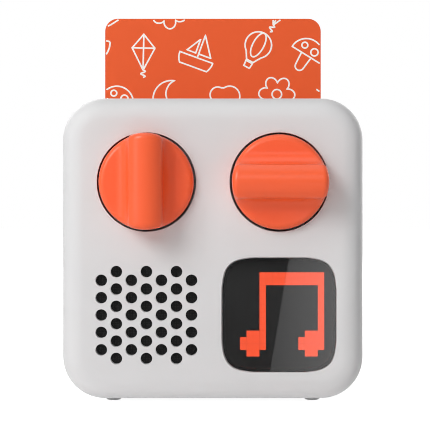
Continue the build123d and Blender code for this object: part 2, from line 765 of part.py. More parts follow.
# ---------------------------------------------------------------- ports and power button
def make_ports():
    """The charging port, headphone socket, power button and its switch, by name."""
    width, rise, length = usb_size
    back = mouth_x - length
    shell = side_prism(SlotOverall(width, rise), back, mouth_x, -usb_drop)
    shell -= side_prism(SlotOverall(width - 2 * usb_shell_wall, rise - 2 * usb_shell_wall), back + usb_shell_wall,
                        mouth_x + overshoot, -usb_drop)
    leg_rise = jack_size[1] / 2 - rise / 2
    leg_middle = (rise + leg_rise) / 2 - usb_shell_wall / 4
    leg_outline = Rectangle(usb_leg, leg_rise + usb_shell_wall / 2)
    for along in (back + usb_leg_inset, mouth_x - usb_leg_inset - usb_leg):
        for across in (-1, 1):
            leg = Pos(across * (width - rise) / 2, leg_middle) * leg_outline
            shell += side_prism(leg, along, along + usb_leg, -usb_drop)
    tongue_width, tongue_rise, tongue_length = usb_tongue
    tongue = side_prism(Rectangle(tongue_width, tongue_rise), back + usb_shell_wall, back + usb_shell_wall
                        + tongue_length, -usb_drop)

    jack_width, jack_rise, jack_length = jack_size
    nose_root = mouth_x - jack_nose_length
    jack = side_prism(Rectangle(jack_width, jack_rise), mouth_x - jack_length, nose_root, -jack_drop)
    jack += side_prism(Circle(jack_nose_radius), nose_root, mouth_x, -jack_drop)
    jack -= side_prism(Circle(jack_bore_radius), mouth_x - jack_bore_length, mouth_x + overshoot, -jack_drop)

    cap_width, cap_rise = button_size
    face = body_width / 2 - button_sunk
    flange_back = mouth_x - button_flange_thickness
    cap = side_prism(SlotOverall(cap_width, cap_rise), mouth_x, face, button_raise)
    cap = fillet(cap.faces().sort_by(Axis.X)[-1].edges(), button_edge_radius)
    cap += side_prism(SlotOverall(cap_width + 2 * button_flange, cap_rise + 2 * button_flange), flange_back, mouth_x,
                      button_raise)
    stem_end = flange_back - button_travel - button_stem_gap
    cap += side_prism(Circle(button_stem_radius), stem_end, flange_back, button_raise)

    switch_width, switch_rise, switch_depth = switch_size
    switch_face = stem_end - switch_plunger_proud
    drop = jack_size[1] / 2 - switch_rise / 2
    switch = side_prism(Pos(0, drop) * Rectangle(switch_width, switch_rise), switch_face - switch_depth, switch_face,
                        button_raise)
    plunger_width, plunger_rise = switch_plunger_size
    hole = Rectangle(plunger_width + 2 * running_clearance, plunger_rise + 2 * running_clearance)
    switch -= side_prism(hole, switch_face - switch_well_depth, switch_face + overshoot, button_raise)
    plunger_seat = switch_face - switch_plunger_seat
    plunger = side_prism(Rectangle(plunger_width, plunger_rise), plunger_seat, stem_end, button_raise)
    return {"usb_c_shell": shell, "usb_c_tongue": tongue, "headphone_jack": jack, "power_button": cap,
            "power_switch": switch, "power_switch_plunger": plunger}


# ---------------------------------------------------------------- feet and screws
def make_feet():
    """Four domed rubber feet, each with a stem and a barb that snaps through the bottom wall."""
    dome = make_face(
        Line((0, 0), (foot_radius - foot_edge_radius, 0))
        + JernArc((foot_radius - foot_edge_radius, 0), (1, 0), foot_edge_radius, 90)
        + Polyline((foot_radius, foot_edge_radius), (foot_radius, foot_height), (foot_stem_radius, foot_height),
                   (foot_stem_radius, floor_z), (foot_barb_radius, floor_z),
                   (foot_stem_radius - foot_barb_taper, floor_z + foot_barb_height), (0, floor_z + foot_barb_height), (0, 0)))
    foot = revolve(Plane.XZ * dome, Axis.Z)
    return [Pos(x, y, 0) * foot for x, y in foot_places()]


def make_screws():
    """Every screw, grouped by what it holds."""
    head = (screw_head_radius, screw_head_height)
    small_head = (small_screw_head_radius, small_screw_head_height)
    cover_seat = body_depth - screw_head_height - screw_head_sunk
    led_seat = led_board_front + led_board_thickness
    return {
        "cover_screws": [screw(screw_radius, cover_screw_length, *head, cover_seat, x, z) for x, z in cover_places],
        "board_screws": [screw(screw_radius, board_screw_length, *head, board_back, x, z)
                         for x, z in board_screw_spots],
        "display_screws": [screw(small_screw_radius, led_screw_length, *small_head, led_seat, x, z)
                           for x, z in led_places],
        "chamber_screws": [screw(screw_radius, board_screw_length, *head, chamber_back, x, z)
                           for x, z in chamber_places],
    }


# ---------------------------------------------------------------- build and write
def build():
    """Every piece by its node's name."""
    pieces = {
        "front_housing": make_front_housing(),
        "rear_cover": make_rear_cover(),
        "card_sleeve": make_card_sleeve(),
        "story_card": make_story_card(),
        "reader_antenna": make_reader_antenna(),
        "main_board": make_main_board(),
        "shield_can": make_shield_can(),
        "feet": make_feet(),
    }
    for name, (side, turn) in sides.items():
        pieces[f"knob_{name}"] = make_knob(side, turn)
        for piece, solid in make_encoder(side, turn).items():
            pieces[f"encoder_{name}_{piece}"] = solid
    for group in (make_display(), make_speaker(), make_battery(), make_ports(), make_screws()):
        pieces.update(group)
    return pieces


os.makedirs("parts", exist_ok=True)
for name, piece in build().items():
    solids = piece if isinstance(piece, list) else [piece]
    shape = Compound(children=[s for item in solids for s in item.solids()]) if len(solids) > 1 else solids[0]
    export_step(shape, f"parts/{name}.step")
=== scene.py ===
import logging
from dataclasses import dataclass, replace
from enum import Enum

import bpy
import numpy as np
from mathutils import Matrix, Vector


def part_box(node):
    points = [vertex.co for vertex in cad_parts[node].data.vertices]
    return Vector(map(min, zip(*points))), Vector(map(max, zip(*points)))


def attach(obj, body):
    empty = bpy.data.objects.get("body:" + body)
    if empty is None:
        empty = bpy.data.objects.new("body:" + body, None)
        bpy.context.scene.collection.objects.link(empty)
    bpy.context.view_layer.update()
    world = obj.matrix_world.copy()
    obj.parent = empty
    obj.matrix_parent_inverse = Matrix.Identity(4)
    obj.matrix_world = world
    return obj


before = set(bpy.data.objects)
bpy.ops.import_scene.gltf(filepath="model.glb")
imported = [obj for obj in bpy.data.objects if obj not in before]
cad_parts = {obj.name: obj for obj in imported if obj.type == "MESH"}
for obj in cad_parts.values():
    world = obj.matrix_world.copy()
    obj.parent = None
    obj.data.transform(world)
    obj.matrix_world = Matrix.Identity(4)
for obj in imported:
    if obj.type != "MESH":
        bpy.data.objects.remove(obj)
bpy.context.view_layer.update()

LOG = logging.getLogger("story_player")
MM = 0.001
WHITE = (1.0, 1.0, 1.0, 1.0)
BLACK = (0.0, 0.0, 0.0, 1.0)
# a Mix node names its sockets alike for each type of data, so those for colours go by their place
COLOUR_A, COLOUR_B, MIXED_COLOUR = 6, 7, 2
# nearly all of a noise texture's values lie between these
NOISE_LOW, NOISE_HIGH = 0.3, 0.7
# a wave texture goes through this many radians for each unit of its scale
WAVE_RADIANS = 20.0
# a box's eight corners in half sizes from its middle, and its six faces seen from outside
BOX_CORNERS = np.array([[i, j, k] for i in (-1, 1) for j in (-1, 1) for k in (-1, 1)], float)
BOX_FACES = np.array([[0, 1, 3, 2], [4, 6, 7, 5], [0, 4, 5, 1],
                      [2, 3, 7, 6], [0, 2, 6, 4], [1, 5, 7, 3]])

Points = np.ndarray
Strokes = list[np.ndarray]


# ---------------------------------------------------------------- shared helpers
def linear(hex_colour: str) -> tuple[float, float, float, float]:
    """Turns an sRGB hex colour into the linear one that shaders take, by the sRGB standard's own curve.

    Args:
        hex_colour: six hex digits after a hash sign.

    Returns:
        Linear red, green, blue and an alpha of one.
    """
    coded = np.array([int(hex_colour[i:i + 2], 16) / 255 for i in (1, 3, 5)])
    plain = np.where(coded <= 0.04045, coded / 12.92, ((coded + 0.055) / 1.055) ** 2.4)
    return (*(float(v) for v in plain), 1.0)


def add_node(tree: bpy.types.NodeTree, kind: str, values: dict | None = None,
             **attributes: object) -> bpy.types.Node:
    """Adds a shader node, sets it up and links its inputs.

    Args:
        tree: the node tree that gets the node.
        kind: the node's type name, without its ShaderNode prefix.
        values: for each input, a plain value or the output socket that feeds it.
        attributes: settings of the node itself.

    Returns:
        The new node.
    """
    node = tree.nodes.new("ShaderNode" + kind)
    for name, value in attributes.items():
        setattr(node, name, value)
    for key, value in (values or {}).items():
        if isinstance(value, bpy.types.NodeSocket):
            tree.links.new(value, node.inputs[key])
        else:
            node.inputs[key].default_value = value
    return node


def per_metre(size_mm: float) -> float:
    """Gives the texture scale whose features measure size_mm on Object coordinates, which are metres."""
    return 1.0 / (size_mm * MM)


def blank_material(name: str) -> tuple[bpy.types.Material, bpy.types.NodeTree]:
    """Makes a material whose node tree is empty.

    Args:
        name: what the finish is called in a workshop.

    Returns:
        The material and its node tree.
    """
    material = bpy.data.materials.new(name)
    material.use_nodes = True
    material.node_tree.nodes.clear()
    return material, material.node_tree


def close_material(tree: bpy.types.NodeTree, surface: bpy.types.NodeSocket) -> None:
    """Links a shader's output to the material's surface.

    Args:
        tree: the material's node tree.
        surface: the shader output that the surface shows.
    """
    add_node(tree, "OutputMaterial", {"Surface": surface})


def put_mesh(name: str, vertices: Points, faces: Points) -> bpy.types.Object:
    """Puts a flat-shaded mesh worked out as arrays into the scene, its place in its vertices.

    Args:
        name: the object's name.
        vertices: N by 3 places in metres.
        faces: M by 4 vertex numbers, turning anticlockwise as seen from outside.

    Returns:
        The new object, at the origin.
    """
    mesh = bpy.data.meshes.new(name)
    mesh.from_pydata(vertices.tolist(), [], faces.tolist())
    mesh.update()
    piece = bpy.data.objects.new(name, mesh)
    bpy.context.scene.collection.objects.link(piece)
    return piece


def stacked(parts: list[tuple[Points, Points]]) -> tuple[Points, Points]:
    """Joins several vertex and face arrays into one pair, renumbering the faces.

    Args:
        parts: pairs of vertices and faces.

    Returns:
        All vertices and all faces.
    """
    offsets = np.cumsum([0] + [len(vertices) for vertices, _ in parts[:-1]])
    vertices = np.concatenate([vertices for vertices, _ in parts])
    faces = np.concatenate([faces + offset for (_, faces), offset in zip(parts, offsets)])
    return vertices, faces


# ---------------------------------------------------------------- finishes
@dataclass(frozen=True)
class MouldedPlastic:
    """Injection-moulded plastic from a spark-eroded tool.

    To the eye: one even colour in the mass, a very fine pebble that breaks up the highlight, and a
    faint drift of shade over a few centimetres from the way the melt has flowed.
    """

    name: str
    colour: str
    shade: str
    roughness: float
    grain_mm: float = 0.35
    grain_depth_mm: float = 0.006
    drift_mm: float = 18.0
    gloss_swing: float = 0.05
    ior: float = 1.53
    specular: float = 0.5
    seam_mm: float | None = None
    seam_width_mm: float = 0.2
    seam_shade: str = "#8C8C8C"

    def build(self) -> bpy.types.Material:
        """Makes the material: a slow drift of shade, a fine grain in bump and roughness.

        Where seam_mm is given, the hairline between two shells that meet at that depth along Y shows as
        a thin shaded line, because light doesn't reach into it.
        """
        material, tree = blank_material(self.name)
        place = add_node(tree, "TexCoord").outputs["Object"]
        drift = add_node(tree, "TexNoise", {
            "Vector": place, "Scale": per_metre(self.drift_mm), "Detail": 2.0})
        base = add_node(tree, "Mix", {
            "Factor": drift.outputs["Fac"], COLOUR_A: linear(self.colour), COLOUR_B: linear(self.shade)},
            data_type="RGBA").outputs[MIXED_COLOUR]
        # the eroded pebble is about 0.05 mm, drawn several times coarser so that it shows
        grain = add_node(tree, "TexNoise", {
            "Vector": place, "Scale": per_metre(self.grain_mm), "Detail": 3.0, "Roughness": 0.6})
        bump = add_node(tree, "Bump", {
            "Height": grain.outputs["Fac"], "Distance": self.grain_depth_mm * MM, "Strength": 1.0})
        gloss = add_node(tree, "MapRange", {
            "Value": grain.outputs["Fac"], "From Min": NOISE_LOW, "From Max": NOISE_HIGH,
            "To Min": self.roughness - self.gloss_swing, "To Max": self.roughness + self.gloss_swing})
        if self.seam_mm is not None:
            depth = add_node(tree, "SeparateXYZ", {"Vector": place}).outputs["Y"]
            at_seam = add_node(tree, "Math", {
                0: depth, 1: self.seam_mm * MM, 2: self.seam_width_mm / 2 * MM}, operation="COMPARE")
            base = add_node(tree, "Mix", {
                "Factor": at_seam.outputs["Value"], COLOUR_A: base, COLOUR_B: linear(self.seam_shade)},
                data_type="RGBA").outputs[MIXED_COLOUR]
        shader = add_node(tree, "BsdfPrincipled", {
            "Base Color": base, "Roughness": gloss.outputs["Result"], "Normal": bump.outputs["Normal"],
            "IOR": self.ior, "Specular IOR Level": self.specular})
        close_material(tree, shader.outputs["BSDF"])
        return material


@dataclass(frozen=True)
class SmokedAcrylic:
    """Polished acrylic sheet with a grey dye, coated against glare.

    To the eye: mirror-smooth, with crisp but weak reflections, and what lies behind shows dark. Bare
    acrylic has an IOR of 1.49. The coat halves its reflection, which an IOR of 1.33 stands for.
    """

    name: str = "smoked acrylic"
    tint: str = "#5A5A5A"
    ior: float = 1.33
    roughness: float = 0.03
    wave_mm: float = 9.0
    wave_depth_mm: float = 0.0006

    def build(self) -> bpy.types.Material:
        """Makes the material: tinted clear plastic whose surface is very slightly wavy from moulding."""
        material, tree = blank_material(self.name)
        place = add_node(tree, "TexCoord").outputs["Object"]
        wave = add_node(tree, "TexNoise", {
            "Vector": place, "Scale": per_metre(self.wave_mm), "Detail": 1.0})
        bump = add_node(tree, "Bump", {
            "Height": wave.outputs["Fac"], "Distance": self.wave_depth_mm * MM})
        shader = add_node(tree, "BsdfPrincipled", {
            "Base Color": linear(self.tint), "Roughness": self.roughness, "IOR": self.ior,
            "Transmission Weight": 1.0, "Normal": bump.outputs["Normal"]})
        close_material(tree, shader.outputs["BSDF"])
        return material


@dataclass(frozen=True)
class LitPixel:
    """A cell of the display lit from behind: an even, saturated glow, a little cloudy from the film."""

    name: str = "lit pixel"
    colour: str = "#FB542C"
    strength: float = 9.9
    waver: float = 0.03
    speck_mm: float = 0.5

    def build(self) -> bpy.types.Material:
        """Makes the material: light whose level wavers a little, as through a milky film."""
        material, tree = blank_material(self.name)
        place = add_node(tree, "TexCoord").outputs["Object"]
        speck = add_node(tree, "TexNoise", {"Vector": place, "Scale": per_metre(self.speck_mm)})
        level = add_node(tree, "MapRange", {
            "Value": speck.outputs["Fac"], "To Min": self.strength * (1 - self.waver),
            "To Max": self.strength * (1 + self.waver)})
        shader = add_node(tree, "BsdfPrincipled", {
            "Base Color": BLACK, "Roughness": 0.6, "Emission Color": linear(self.colour),
            "Emission Strength": level.outputs["Result"]})
        close_material(tree, shader.outputs["BSDF"])
        return material


@dataclass(frozen=True)
class WovenCloth:
    """Plain-woven acoustic cloth: fine black threads over and under, with pinholes between them."""

    name: str = "woven acoustic cloth"
    thread_colour: str = "#262626"
    gap_colour: str = "#0C0C0C"
    thread_mm: float = 0.3
    thread_depth_mm: float = 0.05

    def build(self) -> bpy.types.Material:
        """Makes the material: two crossed waves, one for each way of the weave."""
        material, tree = blank_material(self.name)
        place = add_node(tree, "TexCoord").outputs["Object"]
        # threads of 0.1 mm are drawn three times as wide so that the weave shows through the holes, and
        # half a wave is as wide as one thread
        scale = per_metre(self.thread_mm) / WAVE_RADIANS * np.pi
        across = add_node(tree, "TexWave", {"Vector": place, "Scale": scale}, bands_direction="X")
        upright = add_node(tree, "TexWave", {"Vector": place, "Scale": scale}, bands_direction="Z")
        weave = add_node(tree, "Math", {0: across.outputs["Fac"], 1: upright.outputs["Fac"]},
                         operation="MULTIPLY").outputs["Value"]
        ramp = add_node(tree, "ValToRGB", {"Fac": weave})
        ramp.color_ramp.elements[0].color = linear(self.gap_colour)
        ramp.color_ramp.elements[1].color = linear(self.thread_colour)
        bump = add_node(tree, "Bump", {"Height": weave, "Distance": self.thread_depth_mm * MM})
        shader = add_node(tree, "BsdfPrincipled", {
            "Base Color": ramp.outputs["Color"], "Roughness": 0.85, "Sheen Weight": 0.2,
            "Sheen Roughness": 0.5, "Normal": bump.outputs["Normal"]})
        close_material(tree, shader.outputs["BSDF"])
        return material


@dataclass(frozen=True)
class PlatedMetal:
    """Plate over steel, or bare metal: bright, with the soft streaks of rolled or turned stock."""

    name: str
    colour: str
    roughness: float
    streak_mm: tuple[float, float, float]
    streak_depth_mm: float = 0.003
    gloss_swing: float = 0.3

    def build(self) -> bpy.types.Material:
        """Makes the material: noise stretched along one axis gives the streaks in bump and roughness.

        The roughness swings about its middle by a share of it, gloss_swing.
        """
        material, tree = blank_material(self.name)
        place = add_node(tree, "TexCoord").outputs["Object"]
        scales = tuple(per_metre(size) for size in self.streak_mm)
        stretched = add_node(tree, "Mapping", {"Vector": place, "Scale": scales})
        streak = add_node(tree, "TexNoise", {
            "Vector": stretched.outputs["Vector"], "Scale": 1.0, "Detail": 2.0})
        gloss = add_node(tree, "MapRange", {
            "Value": streak.outputs["Fac"], "To Min": self.roughness * (1 - self.gloss_swing),
            "To Max": self.roughness * (1 + self.gloss_swing)})
        bump = add_node(tree, "Bump", {
            "Height": streak.outputs["Fac"], "Distance": self.streak_depth_mm * MM})
        shader = add_node(tree, "BsdfPrincipled", {
            "Base Color": linear(self.colour), "Metallic": 1.0, "Roughness": gloss.outputs["Result"],
            "Normal": bump.outputs["Normal"]})
        close_material(tree, shader.outputs["BSDF"])
        return material


@dataclass(frozen=True)
class SolderMaskBoard:
    """Glass-epoxy board under green solder mask: its copper tracks show as lighter, raised lines."""

    name: str = "green solder mask"
    mask: str = "#14512F"
    track: str = "#2C7A4A"
    track_mm: float = 2.4
    track_rise_mm: float = 0.03

    def build(self) -> bpy.types.Material:
        """Makes the material: brick edges stand for tracks that run in steps across the board."""
        material, tree = blank_material(self.name)
        place = add_node(tree, "TexCoord").outputs["Object"]
        flat = add_node(tree, "Mapping", {"Vector": place, "Rotation": (np.pi / 2, 0.0, 0.0)})
        tracks = add_node(tree, "TexBrick", {
            "Vector": flat.outputs["Vector"], "Color1": linear(self.mask), "Color2": linear(self.mask),
            "Mortar": linear(self.track), "Scale": per_metre(self.track_mm), "Mortar Size": 0.06,
            "Brick Width": 2.0, "Row Height": 0.4})
        bump = add_node(tree, "Bump", {
            "Height": tracks.outputs["Fac"], "Distance": self.track_rise_mm * MM})
        shader = add_node(tree, "BsdfPrincipled", {
            "Base Color": tracks.outputs["Color"], "Roughness": 0.35, "Coat Weight": 0.4,
            "Coat Roughness": 0.1, "Normal": bump.outputs["Normal"]})
        close_material(tree, shader.outputs["BSDF"])
        return material


Finish = MouldedPlastic | SmokedAcrylic | LitPixel | WovenCloth | PlatedMetal | SolderMaskBoard


class Workshop:
    """Makes each finish once and hands it out to pieces."""

    def __init__(self) -> None:
        """Starts with no finish made."""
        self.made: dict[str, bpy.types.Material] = {}

    def dress(self, piece: bpy.types.Object, finish: Finish) -> None:
        """Gives a piece one finish all over.

        Args:
            piece: the object to dress.
            finish: a finish with a name and a build method.
        """
        if finish.name not in self.made:
            self.made[finish.name] = finish.build()
        piece.data.materials.clear()
        piece.data.materials.append(self.made[finish.name])


# an inner moulding in plain black: dry and dark, with no more sheen than a keyboard's underside
BLACK_ABS = MouldedPlastic("black ABS, inner", "#1C1C1C", "#181818", 0.55)
# the open skin of cut foam swallows light and shows fine pits
BLACK_FOAM = MouldedPlastic("closed-cell foam", "#161616", "#101010", 0.9, grain_mm=0.5,
                            grain_depth_mm=0.05)
# rolled sheet under dull nickel: warm grey with short streaks along the strip
NICKEL_SHEET = PlatedMetal("nickel-plated sheet", "#C9C6BF", 0.28, (0.2, 0.2, 4.0))
# barrel-plated screws: cooler and duller than the sheet, their streaks running along the shank
ZINC_SCREW = PlatedMetal("zinc-plated screw", "#B9BCC0", 0.35, (0.3, 3.0, 0.3))
BOARD = SolderMaskBoard()


class SubAssembly:
    """Pieces that are fitted together before the player is closed."""

    def finishes(self) -> dict[str, Finish]:
        """The finish of each of the player's own nodes in this sub-assembly."""
        return {}

    def additions(self, workshop: Workshop) -> list[bpy.types.Object]:
        """Makes and dresses what is added to those nodes; most sub-assemblies add nothing."""
        return []

    def build(self, workshop: Workshop) -> None:
        """Dresses the nodes, makes the additions and reports each piece.

        Args:
            workshop: where the finishes are made.
        """
        group = type(self).__name__
        for node, finish in self.finishes().items():
            workshop.dress(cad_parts[node], finish)
            LOG.info("%s: dressed %s in %s", group, node, finish.name)
        for piece in self.additions(workshop):
            LOG.info("%s: made %s with %d faces", group, piece.name, len(piece.data.polygons))


# ---------------------------------------------------------------- the story card and its sleeve
def arc(centre: tuple[float, float], radius: float, start: float, end: float, steps: int = 48) -> Points:
    """Points along a circular arc: centre + radius * (cos t, sin t), t in degrees from start to end."""
    t = np.radians(np.linspace(start, end, steps))
    return np.stack([centre[0] + radius * np.cos(t), centre[1] + radius * np.sin(t)], axis=1)


def run(*corners: tuple[float, float], steps: int = 10) -> Points:
    """Points along straight runs through the corners, evenly spaced on each run."""
    stops = np.array(corners, float)
    t = np.linspace(0, 1, steps)[:, None]
    return np.concatenate([a + (b - a) * t for a, b in zip(stops[:-1], stops[1:])])


class Motif(Enum):
    """The drawings scattered over the card, each about two units across and drawn round its middle."""

    MOON = "moon"
    CLOUD = "cloud"
    FLOWER = "flower"
    LEAF = "leaf"
    KITE = "kite"
    BOAT = "boat"
    BALLOON = "balloon"
    MUSHROOM = "mushroom"

    def strokes(self) -> Strokes:
        """The motif's pen strokes, each an N by 2 array of points."""
        return getattr(self, f"_{self.value}")()

    def _moon(self) -> Strokes:
        """A crescent: most of a circle, closed by an arc of a smaller one set to the right."""
        outer = arc((0, 0), 1.0, 50, 310, 72)
        reach = np.hypot(outer[0, 0] - 0.55, outer[0, 1])
        lean = np.degrees(np.arctan2(outer[0, 1], outer[0, 0] - 0.55))
        return [np.concatenate([outer, arc((0.55, 0), reach, -lean, lean - 360, 60)])]

    def _cloud(self) -> Strokes:
        """Three puffs over a flat base, as arcs that meet."""
        return [np.concatenate([
            arc((-0.62, -0.1), 0.42, 270, 100, 30), arc((-0.05, 0.22), 0.55, 160, 20, 30),
            arc((0.62, -0.07), 0.45, 75, -90, 30), run((0.62, -0.52), (-0.62, -0.52))])]

    def _flower(self) -> Strokes:
        """Six round petals, r = 0.62 + 0.36 |cos 3t|^0.8, about a small centre."""
        t = np.linspace(0, 2 * np.pi, 181)
        r = 0.62 + 0.36 * np.abs(np.cos(3 * t)) ** 0.8
        return [np.stack([r * np.cos(t), r * np.sin(t)], axis=1), arc((0, 0), 0.26, 0, 360)]

    def _leaf(self) -> Strokes:
        """Two arcs that meet in points, with a midrib and a stalk."""
        return [arc((0, -0.75), 1.25, 143, 37, 40), arc((0, 0.75), 1.25, 217, 323, 40),
                run((-1.25, 0), (0.55, 0), steps=20)]

    def _kite(self) -> Strokes:
        """A diamond with its cross spars and a waving tail."""
        t = np.linspace(0, 1, 40)
        tail = np.stack([0.12 * np.sin(3 * np.pi * t), -0.95 - 0.4 * t], axis=1)
        return [run((0, 1), (0.62, 0.25), (0, -0.95), (-0.62, 0.25), (0, 1)),
                run((0, 1), (0, -0.95), steps=20), run((-0.62, 0.25), (0.62, 0.25), steps=16), tail]

    def _boat(self) -> Strokes:
        """A round hull under a mast and two sails."""
        hull = np.concatenate([
            run((-0.95, -0.3), (0.95, -0.3), steps=20), arc((0, -0.3), 0.95, 0, -35, 12),
            run((0.78, -0.845), (-0.78, -0.845), steps=16), arc((0, -0.3), 0.95, 215, 180, 12)])
        return [hull, run((0.05, -0.3), (0.05, 1.0), (0.75, -0.08), (0.05, -0.08), steps=16),
                run((-0.12, -0.08), (-0.12, 0.7), (-0.62, -0.08), (-0.12, -0.08), steps=12)]

    def _balloon(self) -> Strokes:
        """A round envelope with one upright panel, drawn in to a small basket."""
        t = np.linspace(0, 2 * np.pi, 48)
        envelope = np.concatenate([
            arc((0, 0.3), 0.72, -50, 230, 60), run((-0.46, -0.25), (-0.2, -0.68)),
            run((0.2, -0.68), (0.46, -0.25))])
        return [envelope, run((-0.2, -0.75), (0.2, -0.75), (0.17, -1.05), (-0.17, -1.05), (-0.2, -0.75)),
                np.stack([0.3 * np.cos(t), 0.3 + 0.71 * np.sin(t)], axis=1)]

    def _mushroom(self) -> Strokes:
        """A half-round cap with two spots, on a stalk."""
        cap = np.concatenate([arc((0, 0), 0.9, 0, 180, 48), run((-0.9, 0), (0.9, 0), steps=20)])
        stalk = np.concatenate([
            run((-0.3, 0), (-0.24, -0.7)), arc((0, -0.7), 0.24, 180, 360, 20),
            run((0.24, -0.7), (0.3, 0))])
        return [cap, stalk, arc((-0.35, 0.42), 0.16, 0, 360, 24), arc((0.3, 0.36), 0.2, 0, 360, 24)]


class CardFace(Enum):
    """A face of the card, by the way it looks along Y."""

    FRONT = -1
    BACK = 1


